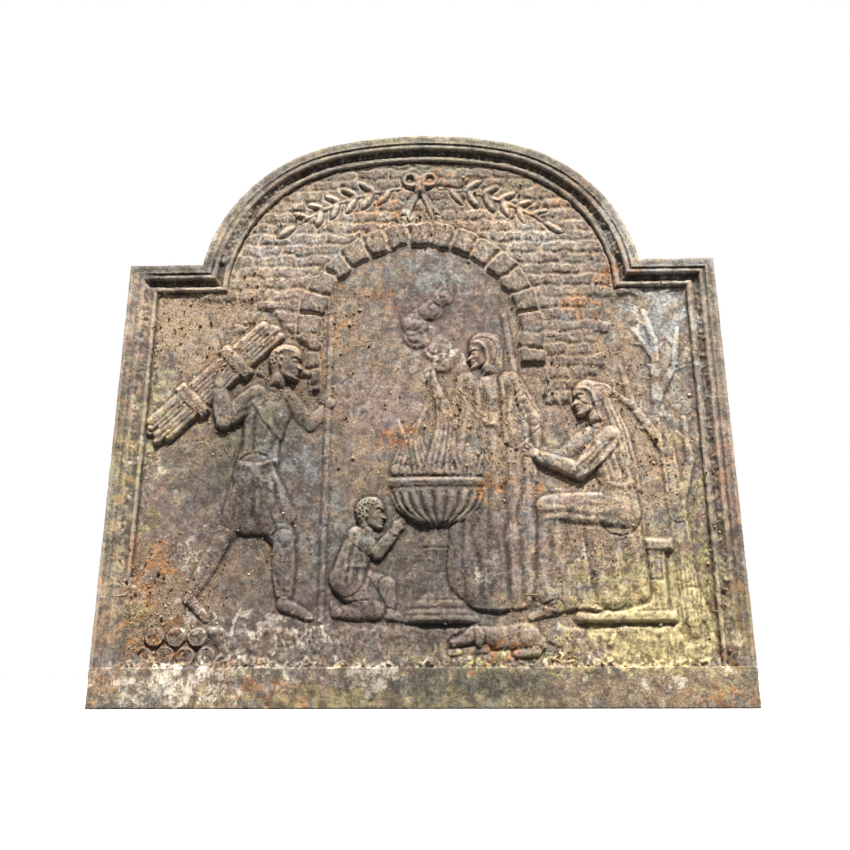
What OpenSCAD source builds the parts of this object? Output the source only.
// A cast-iron fireback: an upright plate with square shoulders and a basket-handle
// arch, edged by a moulding, with a foot band and a pictorial relief on its face.
// The iron is one casting. The modules follow the loose parts of a founder's
// pattern: the board, the mitred moulding strips, the foot band and the carved
// groups pinned on the board.
// X runs across the plate, Z up, and the face looks towards -Y.

/* [Plate] */
// Width of the plate over its mouldings
plate_w = 900; // [860:5:960]
// Thickness of the plate behind the relief
plate_t = 24; // [18:1:34]
// Height of the square shoulders above the floor
shoulder_z = 656; // [650:1:680]

/* [Arch] */
// Half of the arch's span at its springing
arch_half_span = 341; // [338:1:350]
// How far the arch springs below the top of the shoulders
spring_drop = 45; // [43:1:50]
// Radius of the two side arcs
arch_side_r = 262; // [258:1:266]
// Radius of the flat crown arc
arch_crown_r = 656; // [630:2:680]

/* [Edge moulding] */
// Height of the moulding and the foot band above the field
rim_h = 16; // [15.5:0.5:20]
// Width of the flat outer fillet
fillet_w = 15; // [12:0.5:17]
// Width of the quirk between the fillet and the first bead
quirk_w = 1.5; // [1:0.25:2.5]
// How far the first bead's crown lies below the fillet
quirk_d = 1; // [0.75:0.25:2]
// Radius of the first bead
outer_bead_r = 4; // [3:0.25:5]
// Radius of the hollow between the beads
hollow_r = 9; // [7:0.5:10]
// Radius of the inner bead
inner_bead_r = 4.5; // [4:0.25:5.5]
// Height of the inner bead's centre above the field
inner_bead_z = 3.5; // [3:0.25:4]
// Width of the ledge inside the inner bead
ledge_w = 1.5; // [1:0.25:3]
// Height of that ledge above the field
ledge_h = 3; // [2:0.25:4]

/* [Foot band] */
// Height of the plain band along the foot
foot_band_h = 54; // [50:1:58]

/* [Masonry] */
// Half of the width of the niche in the wall
niche_half_w = 150; // [146:1:156]
// Height at which the niche's round head springs
niche_spring_z = 540; // [534:1:546]
// Width of the ring of wedge stones round the niche
ring_w = 40; // [34:1:44]
// Number of wedge stones in the ring
ring_stones = 15; // [11:2:21]
// Height of one course of the wall, with its joint
course_h = 19; // [17:0.5:24]
// Mean length of a wall stone
stone_l = 52; // [44:1:64]
// Gap between two stones
joint_w = 2.5; // [1.5:0.25:3.5]
// How far the flattest wall stones stand out of the field
stone_h = 3.6; // [3:0.2:5]
// Depth of the mortar bed between the stones
mortar_h = 1.4; // [1:0.2:2]
// Height of the wall's ragged foot
wall_foot_z = 428; // [418:2:440]

/* [Ornament] */
// Radius of the bow's loops
bow_loop_r = 24; // [20:0.5:27]
// Length of the bow's hanging tails
bow_tail_l = 62; // [54:1:66]
// Height of the bow's knot above the field
bow_h = 9; // [7:0.5:11]
// Length of one leaf of the sprays
leaf_l = 42; // [36:1:46]
// Height of a leaf's rib above the field
leaf_h = 6; // [4:0.5:8]

/* [Hearth group] */
// Middle of the brazier, from the plate's middle
brazier_x = 28; // [24:1:32]
// Half of the brazier's bowl
bowl_half_w = 76; // [70:1:80]
// Height of the bowl's rim above the ground
bowl_rim_h = 206; // [198:1:214]
// Length of the longest flame
flame_l = 165; // [150:1:180]

/* [Figures] */
// Height of the ground above the foot band
ground_rise = 58; // [52:1:64]
// Flattening of the carved figures, from 0 to 1
relief_flat = 0.4; // [0.36:0.01:0.44]
// Radius of a grown person's skull
skull_r = 23; // [21:0.5:25]
// Place of the walking carrier, from the plate's middle
carrier_x = -240; // [-246:1:-236]
// Place of the kneeling child, from the plate's middle
child_x = -86; // [-88:1:-84]
// Place of the hooded elder, from the plate's middle
elder_x = 104; // [100:1:108]
// Place of the seated woman, from the plate's middle
woman_x = 250; // [246:1:256]

/* [Hidden] */
$fn = 96;

// Iron under rust, earth and moss
iron = [0.42, 0.35, 0.28];
pale_iron = [0.52, 0.46, 0.36];
dark_iron = [0.31, 0.27, 0.24];
green_iron = [0.38, 0.37, 0.31];

// Where the plate lies in depth
depth = plate_t + rim_h;
face_y = depth / 2 - plate_t;

// The arch: two side arcs that run into a flat crown arc
arch_spring_z = shoulder_z - spring_drop;
side_c = arch_half_span - arch_side_r;
crown_drop = sqrt(pow(arch_crown_r - arch_side_r, 2) - pow(side_c, 2));
crown_c_z = arch_spring_z - crown_drop;
join_a = atan2(crown_drop, side_c);
top_z = crown_c_z + arch_crown_r;

// Half of the arch's width at a height on its side arcs, drawn in by d from the edge
function arch_half_w(z, d) =
    side_c + sqrt(pow(arch_side_r - d, 2) - pow(max(0, z - arch_spring_z), 2));

// Places across the moulding, from the plate's edge inwards
bead_c = fillet_w + quirk_w + outer_bead_r;
hollow_u = bead_c + outer_bead_r;
inner_u = hollow_u + hollow_r;
inner_bead_c = inner_u + inner_bead_r;
moulding_w = inner_bead_c + inner_bead_r + ledge_w;
hollow_top = ledge_h + hollow_r;

// The ground that the figures stand on, and the field's right edge
ground_z = foot_band_h + ground_rise;
field_right = plate_w / 2 - moulding_w;

// The picture is drawn for a plate 900 wide, and grows with it
picture_scale = plate_w / 900;

// A repeatable number from 0 to 1 for the stone, stick or bump at place (i, k)
function grain(i, k) = let (s = 437.5 * sin(127.1 * i + 311.7 * k + 17)) s - floor(s);

// Draws its children on the face: X across, Y up the plate, Z out of the field
module on_face()
    translate([0, face_y, 0]) rotate([90, 0, 0]) children();

// ---- the board ----

module wedge(c, a0, a1, reach)
    polygon([c, c + reach * [cos(a0), sin(a0)], c + reach * [cos(a1), sin(a1)]]);

// The plate's outline, drawn in by d all round but at the foot
module plate_outline(d) {
    reach = 2 * arch_crown_r;
    translate([-plate_w / 2 + d, 0]) square([plate_w - 2 * d, shoulder_z - d]);
    for (s = [-1, 1]) intersection() {
        translate([s * side_c, arch_spring_z]) circle(arch_side_r - d);
        wedge([s * side_c, arch_spring_z], 90 - s * 90, 90 - s * (90 - join_a), reach);
    }
    intersection() {
        translate([0, crown_c_z]) circle(arch_crown_r - d);
        wedge([0, crown_c_z], join_a, 180 - join_a, reach);
    }
}

module back_plate()
    color(iron)
    translate([0, depth / 2, 0]) rotate([90, 0, 0]) linear_extrude(plate_t) plate_outline(0);

// ---- the edge moulding ----

// Cross-section: x from the plate's edge inwards, y out of the field
module moulding_section()
    intersection() {
        square([moulding_w, rim_h]);
        union() {
            square([fillet_w, rim_h]);
            difference() {
                square([inner_u, hollow_top]);
                translate([inner_u, hollow_top]) circle(hollow_r);
            }
            translate([bead_c, rim_h - quirk_d - outer_bead_r]) circle(outer_bead_r);
            translate([inner_bead_c, inner_bead_z]) circle(inner_bead_r);
            square([moulding_w, ledge_h]);
        }
    }

// The mitre where a shoulder strip meets the arch
mitre_out = [arch_half_w(shoulder_z, 0), shoulder_z];
mitre_in = [arch_half_w(shoulder_z - moulding_w, moulding_w), shoulder_z - moulding_w];
mitre_step = (mitre_out - mitre_in) / moulding_w;

module face_mask(points)
    translate([0, 0, -1]) linear_extrude(rim_h + 2) polygon(points);

module stile_strip()
    intersection() {
        translate([-plate_w / 2, shoulder_z, 0]) rotate([90, 0, 0])
            linear_extrude(shoulder_z - foot_band_h) moulding_section();
        face_mask([[-plate_w / 2 - 1, 0], [-plate_w / 2 - 1, shoulder_z + 1],
                   [-plate_w / 2 + moulding_w + 1, shoulder_z - moulding_w - 1],
                   [-plate_w / 2 + moulding_w + 1, 0]]);
    }

module shoulder_strip()
    intersection() {
        translate([-mitre_in[0] + moulding_w, shoulder_z, 0]) rotate([0, 0, -90]) rotate([90, 0, 0])
            linear_extrude(plate_w / 2 - mitre_in[0] + moulding_w) moulding_section();
        face_mask([[-plate_w / 2 - 1, shoulder_z + 1],
                   [-mitre_out[0] - mitre_step[0], shoulder_z + 1],
                   [-mitre_in[0] + mitre_step[0], shoulder_z - moulding_w - 1],
                   [-plate_w / 2 + moulding_w + 1, shoulder_z - moulding_w - 1]]);
    }

module arc_strip(centre, radius, a0, a1)
    translate([centre[0], centre[1], 0]) rotate([0, 0, a0])
        rotate_extrude(angle = a1 - a0) translate([radius, 0]) mirror([1, 0]) moulding_section();

module haunch_strip()
    difference() {
        arc_strip([side_c, arch_spring_z], arch_side_r, 0, join_a);
        face_mask([mitre_in - 9 * mitre_step, mitre_out + 9 * mitre_step,
                   [plate_w, shoulder_z + 9], [plate_w, 0], [mitre_in[0] - 60, 0]]);
    }

module left_stile_moulding()
    color(iron) on_face() stile_strip();

module right_stile_moulding()
    color(iron) on_face() mirror([1, 0, 0]) stile_strip();

module left_shoulder_moulding()
    color(iron) on_face() shoulder_strip();

module right_shoulder_moulding()
    color(iron) on_face() mirror([1, 0, 0]) shoulder_strip();

module right_haunch_moulding()
    color(iron) on_face() haunch_strip();

module left_haunch_moulding()
    color(iron) on_face() mirror([1, 0, 0]) haunch_strip();

module crown_moulding()
    color(iron) on_face() arc_strip([0, crown_c_z], arch_crown_r, join_a, 180 - join_a);

module foot_band()
    color(pale_iron) on_face()
    translate([-plate_w / 2, 0, 0]) cube([plate_w, foot_band_h, rim_h]);

// ---- how the figures are carved ----
// A carved group is a list of forms. A form is [lift, [place, radius], ...]: a round,
// flattened skin drawn over knobs, and raised or sunk by lift. Places count from the
// group's own place on the ground.

draft = 0.25;

function limb(p, q, rp, rq, lift) = [lift, [p, rp], [q, rq]];
function girth(r) = r > 19 ? 12 : 8;
function foot_r(r, lift) = r + draft * max(0, lift);

module knob(p, r, lift)
    translate([p[0], p[1], 0]) {
        translate([0, 0, lift]) scale([1, 1, relief_flat]) sphere(r, $fn = girth(r));
        if (lift > 0) cylinder(h = lift, r1 = foot_r(r, lift), r2 = r, $fn = girth(r));
    }

module carved(forms)
    for (form = forms) hull()
        for (k = [1:len(form) - 1]) knob(form[k][0], form[k][1], form[0]);

// Puts a group at its place in the picture
module in_picture(at)
    translate([at[0] * picture_scale, at[1], 0]) scale([picture_scale, picture_scale, 1]) children();

// Keeps what lies on the field: inside the stiles, above the foot band, within the rim
module on_field()
    on_face() intersection() {
        children();
        translate([0.3 - field_right, foot_band_h, 0]) cube([2 * field_right - 0.6, top_z, rim_h]);
    }

// The place on the field that a carved group takes up
module shadow(forms)
    for (form = forms) hull()
        for (k = [1:len(form) - 1])
            translate(form[k][0]) circle(foot_r(form[k][1], form[0]), $fn = girth(form[k][1]));

// A cut right through the relief, for what stands in front
module cut_through()
    translate([0, 0, -1]) linear_extrude(rim_h + 2) children();

// ---- the figures ----

carrier_at = [carrier_x, ground_z];
carrier_forms = let (
    pelvis = [0, 208], waist = [6, 258], chest = [12, 303], neck = [22, 350], head = [36, 387],
    hip = [-4, 200], knee = [46, 116], ankle = [50, 26], toe = [86, 9],
    far_knee = [-44, 114], far_ankle = [-84, 34], far_toe = [-58, 8],
    shoulder = [-4, 331], elbow = [-50, 292], hand = [-60, 346],
    far_shoulder = [36, 334], far_elbow = [78, 286], far_hand = [106, 318]) [
    limb([2, 206], far_knee, 23, 15, -3),
    limb(far_knee, far_knee + 0.35 * (far_ankle - far_knee), 14, 14, -2),
    limb(far_knee, far_ankle, 13, 8, -2),
    limb(far_ankle, far_toe, 8, 6, -1),
    limb(far_shoulder, far_elbow, 15, 11, -1),
    limb(far_elbow, far_hand, 11, 8, 0),
    limb(far_hand, far_hand + [6, 4], 9, 8, 1),
    limb([104, 452], [102, 4], 4.5, 4.5, 1),
    limb(hip, knee, 26, 17, 2),
    limb(knee, knee + [-2, -34], 16, 16, 2),
    limb(knee, ankle, 15, 9, 2),
    limb(ankle, toe, 10, 6, 2),
    limb(pelvis, waist, 34, 28, 0),
    limb(waist, chest, 28, 38, 0),
    [0, [chest, 36], [[-4, 328], 20], [[34, 330], 18]],
    limb([20, 336], neck, 14, 12, 1),
    limb(neck, head, 12, skull_r - 4, 2),
    limb(head, head + [8, -10], skull_r, skull_r - 10, 3),
    [3, [head + [-4, 10], skull_r], [head + [-18, 26], 9], [head + [16, 10], 12]],
    [1, [pelvis, 33], [[-36, 150], 14], [[-8, 138], 16]],
    [1, [pelvis, 32], [[-10, 140], 15], [[20, 136], 16]],
    [2, [pelvis, 32], [[24, 138], 15], [[48, 150], 14]],
    limb(shoulder, elbow, 17, 12, 5),
    limb(elbow, hand, 12, 9, 6),
    limb(hand, hand + [2, 8], 9, 8, 6)];

module wood_carrier()
    color(iron) on_field() in_picture(carrier_at) carved(carrier_forms);

bundle_from = [-140, 286];
bundle_to = [6, 428];
bundle_dir = (bundle_to - bundle_from) / norm(bundle_to - bundle_from);
bundle_side = [-bundle_dir[1], bundle_dir[0]];
bundle_a = atan2(bundle_dir[1], bundle_dir[0]);
bundle_forms = [for (k = [0:7])
    let (across = (k % 5 - 2) * 10 + (k > 4 ? 5 : 0), r = 5 + 2 * grain(k, 5))
    limb(bundle_from + across * bundle_side - 22 * grain(k, 1) * bundle_dir,
         bundle_to + 0.9 * across * bundle_side + 20 * grain(k, 2) * bundle_dir,
         r, 0.8 * r, k > 4 ? 7 : 4)];

module bundle_bands()
    for (share = [0.28, 0.7]) hull() for (side = [-1, 1])
        translate(bundle_from + share * (bundle_to - bundle_from) + 19 * side * bundle_side)
            cylinder(h = 11.5, r1 = 10, r2 = 6, $fn = 8);

module wood_bundle()
    color(dark_iron) on_field() in_picture(carrier_at) difference() {
        union() {
            carved(bundle_forms);
            bundle_bands();
        }
        cut_through() shadow(carrier_forms);
    }

child_at = [child_x, ground_z];
child_forms = let (
    hip = [-18, 60], chest = [-2, 106], neck = [6, 130], head = [16, 156],
    knee = [24, 18], heel = [-30, 14]) [
    limb(hip + [6, 2], [40, 52], 19, 13, -2),
    limb([40, 52], [42, 12], 12, 8, -1),
    limb([42, 12], [60, 6], 8, 5, -1),
    limb(hip, knee, 24, 15, 1),
    limb(knee, heel, 13, 8, 1),
    limb(heel, heel + [-6, 12], 8, 5, 1),
    limb(hip, chest, 24, 22, 0),
    [0, [chest, 22], [[-10, 118], 12], [[16, 118], 12]],
    limb(chest, neck, 20, 10, 1),
    limb(neck, head, 9, skull_r - 7, 1),
    limb(head, head + [6, -6], skull_r - 4, 13, 2),
    limb(head, head + [-9, 6], skull_r - 4, 14, 2),
    limb([-4, 122], [26, 96], 12, 9, 4),
    limb([26, 96], [50, 126], 9, 7, 4),
    limb([12, 124], [40, 116], 9, 8, 0),
    limb([40, 116], [60, 142], 8, 6, 0)];

module kneeling_child()
    color(iron) on_field() difference() {
        in_picture(child_at) carved(child_forms);
        cut_through() in_picture(brazier_at) brazier_outline();
        cut_through() in_picture(carrier_at) shadow(carrier_forms);
    }

woman_at = [woman_x, ground_z];
woman_forms = let (
    pelvis = [32, 152], waist = [34, 196], chest = [22, 240], neck = [10, 286], head = [-2, 326],
    knee = [-64, 158], far_knee = [-50, 172],
    shoulder = [28, 264], elbow = [-20, 212], hand = [-80, 236]) [
    limb([-4, 266], [-50, 232], 14, 10, -1),
    limb([-50, 232], [-98, 258], 10, 7, 0),
    limb(pelvis, far_knee, 30, 20, -2),
    [-2, [far_knee, 19], [[-84, 36], 16], [[-50, 30], 18]],
    limb(pelvis, knee, 32, 22, 2),
    [1, [knee, 20], [[-70, 40], 18], [[-44, 34], 18]],
    limb([-62, 20], [-96, 8], 10, 6, 1),
    [0, [[-30, 150], 24], [[-36, 34], 18], [[-8, 30], 18]],
    [2, [[-4, 146], 22], [[0, 36], 16], [[18, 32], 16]],
    [-1, [pelvis, 30], [[26, 34], 18], [[56, 40], 16]],
    limb(pelvis, waist, 32, 25, 0),
    limb(waist, chest, 25, 32, 0),
    [0, [chest, 31], [[30, 262], 18], [[2, 266], 16]],
    limb([16, 268], neck, 13, 10, 1),
    limb(neck, head, 10, skull_r - 5, 2),
    limb(head, head + [-7, -9], skull_r - 1, skull_r - 10, 3),
    limb(head + [2, 4], head + [22, 10], skull_r - 2, 12, 3),
    [-1, [head + [18, 2], 14], [[44, 262], 14], [[58, 190], 10]],
    limb(shoulder, elbow, 16, 12, 5),
    limb(elbow, hand, 12, 8, 6),
    limb(hand, hand + [-9, 5], 8, 6, 6)];

module seated_woman()
    color(iron) on_field() in_picture(woman_at) carved(woman_forms);

// The seat: a plinth, a block and a slab, each with its width, foot, top and depth
seat_x = [-30, 96];
seat_steps = [[-6, 0, 14, 8.5], [4, 14, 98, 7], [-8, 98, 116, 9.5]];

module seat_outline()
    for (step = seat_steps)
        translate([seat_x[0] + step[0], step[1]])
            square([seat_x[1] - seat_x[0] - 2 * step[0], step[2] - step[1]]);

module stone_seat()
    color(dark_iron) on_field() in_picture(woman_at) difference() {
        for (step = seat_steps)
            translate([seat_x[0] + step[0], step[1], 0])
                cube([seat_x[1] - seat_x[0] - 2 * step[0], step[2] - step[1], step[3]]);
        cut_through() shadow(woman_forms);
    }

elder_at = [elder_x, ground_z];
elder_forms = let (head = [-8, 400], left = [-34, 350], right = [30, 350]) [
    limb(head, head + [-6, -10], skull_r, skull_r - 8, 1),
    [1, [head + [2, 6], skull_r + 2], [head + [12, 20], 12], [head + [14, -24], 14]],
    [3, [head + [-10, -18], 12], [head + [-2, -18], 12], [head + [-14, -56], 6]],
    [-2, [left, 18], [right, 20], [[0, 330], 26]],
    [-3, [left, 20], [[-50, 250], 22], [[-54, 60], 22], [[-22, 250], 22]],
    [-2, [[-8, 340], 24], [[-22, 40], 24], [[6, 36], 24]],
    [-4, [right, 20], [[30, 40], 26], [[48, 60], 22], [[44, 240], 26]],
    [1, [right, 18], [[62, 290], 15], [[30, 262], 12], [[66, 240], 8]],
    limb([62, 292], [44, 322], 11, 9, 3),
    limb([44, 322], [40, 332], 9, 8, 3),
    limb([24, 456], [62, 200], 4.5, 4.5, 2)];

// ---- the brazier and its fire ----

brazier_at = [brazier_x, ground_z];
// Half-outline from foot to rim, as shares of the bowl's half width and rim height
brazier_profile = [
    [0, 0], [0.7, 0], [0.7, 0.06], [0.56, 0.09], [0.5, 0.14], [0.26, 0.2], [0.2, 0.34],
    [0.25, 0.48], [0.36, 0.51], [0.36, 0.55], [0.25, 0.58], [0.24, 0.63], [0.62, 0.69],
    [0.86, 0.79], [0.94, 0.92], [1, 0.94], [1, 1], [0, 1]];
brazier_flat = 0.19;

module brazier_half_outline()
    polygon([for (p = brazier_profile) [p[0] * bowl_half_w, p[1] * bowl_rim_h]]);

module brazier_outline()
    for (s = [0, 1]) mirror([s, 0]) brazier_half_outline();

module brazier()
    color(dark_iron) on_field() in_picture(brazier_at)
    scale([1, 1, brazier_flat]) rotate([-90, 0, 0]) rotate_extrude() brazier_half_outline();

// A tongue of flame thins and sways as it climbs
function tongue_at(x, length, sway, t) =
    [x + sway * sin(300 * t) * t + 0.5 * sway * t, 8 + length * t];
flame_forms = [for (k = [-2:2]) for (part = [0:3])
    let (x = 0.36 * k * bowl_half_w,
         length = flame_l * (1 - 0.12 * k * k) * (0.86 + 0.14 * cos(170 * k)),
         sway = 20 * cos(165 * k + 20), thick = 22 - 1.5 * abs(k))
    limb(tongue_at(x, length, sway, part / 4), tongue_at(x, length, sway, (part + 1) / 4),
         thick * (1 - 0.24 * part), thick * (0.8 - 0.24 * part), 2 - 1.5 * abs(k))];

flames_at = brazier_at + [0, bowl_rim_h * picture_scale];

module flames()
    color(pale_iron) on_field() in_picture(flames_at) difference() {
        carved(flame_forms);
        translate([-bowl_half_w, -bowl_rim_h, -1]) cube([2 * bowl_half_w, bowl_rim_h, rim_h + 2]);
    }

// Smoke rises in a swelling, swaying column of puffs
puffs = 7;
function puff_at(k) = [-16 + 24 * sin(75 * k), flame_l - 12 + 22 * k];
smoke_forms = [for (k = [0:puffs - 1])
    limb(puff_at(k), puff_at(k + 0.75), 15 + 8 * sin(180 * k / puffs), 13, -2)];

module smoke_puffs()
    color(dark_iron) on_field() difference() {
        in_picture(flames_at) carved(smoke_forms);
        cut_through() in_picture(flames_at) shadow(flame_forms);
        cut_through() in_picture(elder_at) shadow(elder_forms);
    }

module hooded_elder()
    color(dark_iron) on_field() difference() {
        in_picture(elder_at) carved(elder_forms);
        cut_through() {
            in_picture(brazier_at) brazier_outline();
            in_picture(flames_at) shadow(flame_forms);
            in_picture(woman_at) shadow(woman_forms);
            in_picture(woman_at) seat_outline();
            in_picture(dog_at) shadow(dog_forms);
        }
    }

// ---- the dog, the logs, the tree and the ground ----

dog_at = [brazier_x + 96, ground_z - 36 * picture_scale];
dog_forms = [
    limb([-36, 18], [20, 20], 18, 19, 1),
    limb([26, 16], [36, 8], 20, 15, 3),
    limb([-40, 20], [-58, 16], 14, 12, 3),
    limb([-60, 16], [-80, 8], 12, 6, 4),
    limb([-52, 24], [-50, 8], 6, 5, 7),
    limb([-40, 2], [-86, -4], 6, 5, 2),
    limb([32, -2], [4, -6], 7, 5, 5),
    limb([48, 4], [66, -2], 5, 4, 1),
    limb([66, -2], [58, -12], 4, 3, 1),
    limb([58, -12], [38, -12], 3, 3, 1)];

module sleeping_dog()
    color(iron) on_field() in_picture(dog_at) carved(dog_forms);

log_r = 14;
log_pitch = 2 * log_r + 1;
log_pile_at = [-field_right / picture_scale + 26, foot_band_h + picture_scale * (log_r + 1)];

module log_end(r, h)
    difference() {
        cylinder(h = h, r = r);
        translate([0, 0, h - 1.2]) difference() {
            cylinder(h = 2, r = 0.72 * r);
            translate([0, 0, -1]) cylinder(h = 4, r = 0.45 * r);
        }
    }

module log_pile()
    color(dark_iron) on_face() in_picture(log_pile_at)
    for (row = [0:1]) for (k = [0:3 - row])
        translate([(k + row / 2) * log_pitch, row * sqrt(3) / 2 * log_pitch, 0])
            log_end(log_r - 2 * grain(row, k), 7 + 3 * grain(row, k + 5));

tree_at = [field_right / picture_scale - 34, ground_z - 8];
tree_forms = let (fork = [-14, 250], low_fork = [-6, 160], crown = [-22, 330]) [
    limb([4, 0], low_fork, 20, 14, 0),
    limb(low_fork, fork, 14, 12, 0),
    limb(fork, crown, 12, 9, 0),
    limb([-16, 4], [0, 50], 8, 12, 0),
    limb([24, 2], [6, 50], 7, 12, 0),
    limb(crown, [-20, 420], 9, 6, 0),
    limb([-20, 420], [-32, 470], 6, 4, 0.5),
    limb(crown, [8, 384], 7, 5, 0.5),
    limb([8, 384], [16, 440], 5, 4, 1),
    limb([-20, 390], [-50, 440], 5, 4, 1),
    limb(low_fork, [18, 236], 9, 6, 0),
    limb([18, 236], [14, 300], 6, 4, 1),
    limb(fork, [-58, 318], 9, 6, 0),
    limb([-58, 318], [-72, 380], 6, 4, 1),
    limb([-58, 318], [-88, 342], 5, 4, 1)];

module bare_tree()
    color(dark_iron) on_field() difference() {
        in_picture(tree_at) carved(tree_forms);
        cut_through() in_picture(woman_at) {
            shadow(woman_forms);
            seat_outline();
        }
    }

ground_h = 3;
ground_step = 26;

module ground_outline() {
    n = floor(2 * field_right / ground_step);
    step = 2 * field_right / n;
    polygon(concat(
        [[field_right, foot_band_h], [-field_right, foot_band_h]],
        [for (k = [0:n]) [-field_right + k * step, ground_z - 2 - 9 * grain(k, 3)]]));
}

module ground_bank()
    color(green_iron) on_face() linear_extrude(ground_h) difference() {
        ground_outline();
        in_picture(carrier_at) shadow(carrier_forms);
        in_picture(child_at) shadow(child_forms);
        in_picture(brazier_at) brazier_outline();
        in_picture(woman_at) shadow(woman_forms);
        in_picture(woman_at) seat_outline();
        in_picture(elder_at) shadow(elder_forms);
        in_picture(dog_at) shadow(dog_forms);
        in_picture(tree_at) shadow(tree_forms);
        in_picture(log_pile_at) hull() for (k = [0, 3]) for (row = [0, 1])
            translate([k * log_pitch + (k > 0 ? -1 : 1) * row * log_pitch / 2, row * log_pitch])
                circle(log_r + 1, $fn = 12);
    }

// ---- the masonry ----

module niche_outline(w) {
    intersection() {
        translate([0, niche_spring_z]) circle(w);
        translate([-w, niche_spring_z - 1]) square([2 * w, w + 2]);
    }
    translate([-w, wall_foot_z]) square([2 * w, niche_spring_z - wall_foot_z]);
}

// The patches that the founder left bare for what stands in front of the wall
module wall_hidden() {
    in_picture(carrier_at) {
        translate(bundle_from) rotate(bundle_a)
            translate([-31, -30]) square([norm(bundle_to - bundle_from) + 62, 61]);
        translate([30, 394]) circle(38);
        translate([-76, 270]) square([152, 92]);
        translate([70, 270]) square([54, 66]);
        translate([97, 0]) square([13, 458]);
    }
    in_picture(elder_at) {
        translate([32, 200]) square([48, 178]);
        translate([18, 370]) square([28, 92]);
    }
    in_picture(woman_at) translate([14, 320]) circle(41);
    translate([0, spray_z]) {
        bow_outline();
        for (s = [0, 1]) mirror([s, 0]) spray_outline();
    }
}

courses = floor((top_z - moulding_w - wall_foot_z) / course_h);
function course_z(i) = wall_foot_z + i * course_h;
function course_half(i) =
    course_z(i + 1) > shoulder_z - moulding_w
        ? arch_half_span
        : 244 + 46 * grain(i, 3) - 4 * max(0, 3 - i);

// The stones of one height class; each course breaks joint with the next
module wall_stones(class)
    for (i = [0:courses]) for (k = [-8:7]) if (floor(3 * grain(i, k + 40)) == class) {
        x0 = (k + 0.5 * (i % 2) + 0.3 * grain(i, k)) * stone_l;
        x1 = (k + 1 + 0.5 * (i % 2) + 0.3 * grain(i, k + 1)) * stone_l;
        left = max(x0, -course_half(i));
        right = min(x1, course_half(i));
        if (right - left > 4 * joint_w)
            translate([left + joint_w / 2, course_z(i) + joint_w / 2])
                square([right - left - joint_w, course_h - joint_w]);
    }

module wall_outline()
    difference() {
        intersection() {
            plate_outline(moulding_w);
            for (i = [0:courses])
                translate([-course_half(i), course_z(i)]) square([2 * course_half(i), course_h]);
        }
        niche_outline(niche_half_w + ring_w);
        wall_hidden();
    }

module stone_wall()
    color(green_iron) on_face() {
        linear_extrude(mortar_h) wall_outline();
        for (class = [0:2]) linear_extrude(stone_h + 0.8 * class) intersection() {
            wall_stones(class);
            wall_outline();
        }
    }

module ring_outline()
    difference() {
        niche_outline(niche_half_w + ring_w);
        niche_outline(niche_half_w);
        wall_hidden();
    }

jamb_h = 27;
module ring_blocks(odd) {
    gap_a = joint_w / niche_half_w * 90 / PI;
    for (k = [odd:2:ring_stones - 1])
        wedge([0, niche_spring_z], (k + 0) * 180 / ring_stones + gap_a,
              (k + 1) * 180 / ring_stones - gap_a, 2 * niche_half_w);
    for (z = [niche_spring_z - (odd + 1) * jamb_h : -2 * jamb_h : wall_foot_z - jamb_h])
        translate([-niche_half_w - ring_w, z + joint_w])
            square([2 * (niche_half_w + ring_w), jamb_h - joint_w]);
}

module niche_ring()
    color(iron) on_face() {
        linear_extrude(mortar_h) ring_outline();
        for (odd = [0, 1]) linear_extrude(stone_h + 2.4 + 1.2 * odd) intersection() {
            ring_blocks(odd);
            ring_outline();
        }
    }

// ---- the bow and the leaf sprays ----

spray_z = top_z - moulding_w - 44;
spray_r = 330;
spray_reach = 36;
stem_start = asin(1.2 * bow_loop_r / spray_r);
stem_w = 5;
leaf_bite = 0.7;

function spray_at(a) = [spray_r * sin(a), spray_r * (cos(a) - 1)];
// Each leaf of a spray: its angle along the stem, its turn from the stem, its length
spray_leaves = concat(
    [for (a = [10:5:spray_reach - 4]) for (s = [-1, 1]) [a + 2 * s, s * 44, leaf_l * (1 - 0.007 * a)]],
    [[spray_reach, 0, leaf_l]]);

module leaf_outline(len)
    intersection_for(s = [-1, 1])
        translate([len / 2, s * len / 2]) circle(leaf_bite * len, $fn = 24);

module on_spray(l)
    translate(spray_at(l[0])) rotate(l[1] - l[0]) children();

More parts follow.
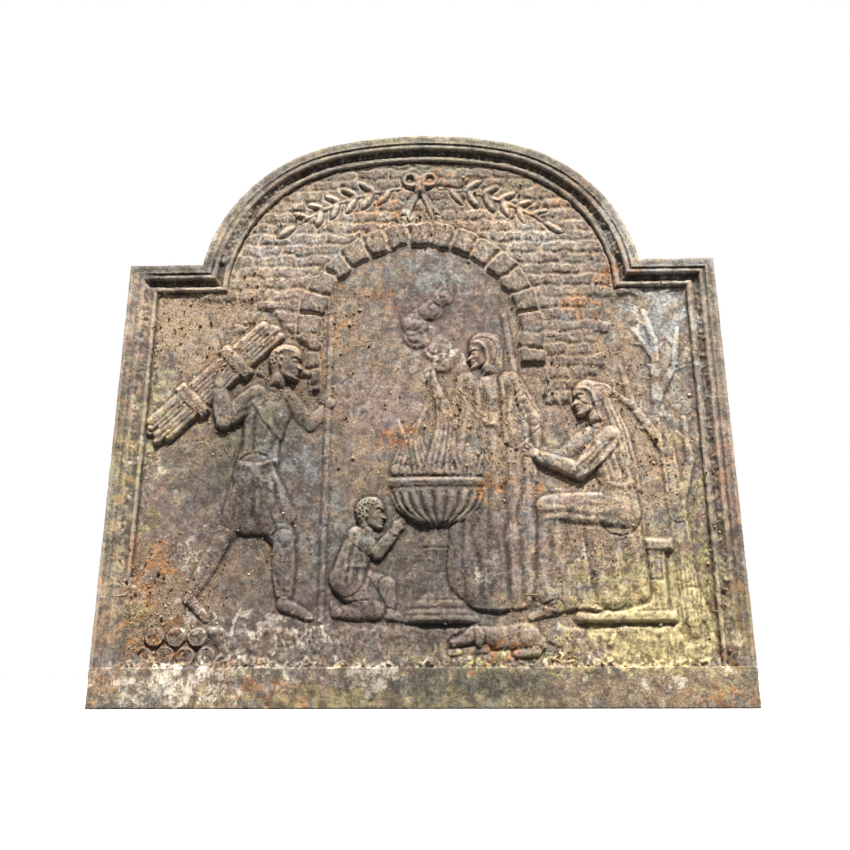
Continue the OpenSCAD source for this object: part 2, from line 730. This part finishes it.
module stem_outline()
    intersection() {
        difference() {
            translate([0, -spray_r]) circle(spray_r + stem_w / 2);
            translate([0, -spray_r]) circle(spray_r - stem_w / 2);
        }
        wedge([0, -spray_r], 90 - spray_reach, 90 - stem_start, 2 * spray_r);
    }

module spray_outline() {
    stem_outline();
    for (l = spray_leaves) on_spray(l) leaf_outline(l[2]);
}

module leaf_spray() {
    linear_extrude(leaf_h - 2) stem_outline();
    for (l = spray_leaves) on_spray(l) hull() {
        linear_extrude(1.5) leaf_outline(l[2]);
        translate([0.2 * l[2], -0.6, 0]) cube([0.55 * l[2], 1.2, leaf_h]);
    }
}

module right_leaf_spray()
    color(green_iron) on_face() translate([0, spray_z, 0]) leaf_spray();

module left_leaf_spray()
    color(green_iron) on_face() translate([0, spray_z, 0]) mirror([1, 0, 0]) leaf_spray();

// The bow: a knot, two loops, and two tails that end in swallow tails
module bow_loops()
    for (s = [0, 1]) mirror([s, 0]) difference() {
        translate([0.56 * bow_loop_r, 0.5 * bow_loop_r]) circle(0.62 * bow_loop_r);
        translate([0.7 * bow_loop_r, 0.56 * bow_loop_r]) circle(0.28 * bow_loop_r);
    }

module bow_tails()
    for (s = [0, 1]) mirror([s, 0]) rotate(-64)
        polygon([[0, -4], [bow_tail_l, -9], [bow_tail_l - 9, 0], [bow_tail_l, 9], [0, 4]]);

bow_knot_r = 9;

module bow_outline() {
    circle(bow_knot_r);
    bow_loops();
    bow_tails();
}

module ribbon_bow()
    color(pale_iron) on_face() translate([0, spray_z, 0]) {
        cylinder(h = bow_h, r = bow_knot_r);
        linear_extrude(0.8 * bow_h) bow_loops();
        linear_extrude(0.65 * bow_h) bow_tails();
    }

back_plate();
left_stile_moulding();
right_stile_moulding();
left_shoulder_moulding();
right_shoulder_moulding();
left_haunch_moulding();
right_haunch_moulding();
crown_moulding();
foot_band();
stone_wall();
niche_ring();
ribbon_bow();
left_leaf_spray();
right_leaf_spray();
ground_bank();
log_pile();
wood_carrier();
wood_bundle();
kneeling_child();
brazier();
flames();
smoke_puffs();
hooded_elder();
seated_woman();
stone_seat();
sleeping_dog();
bare_tree();
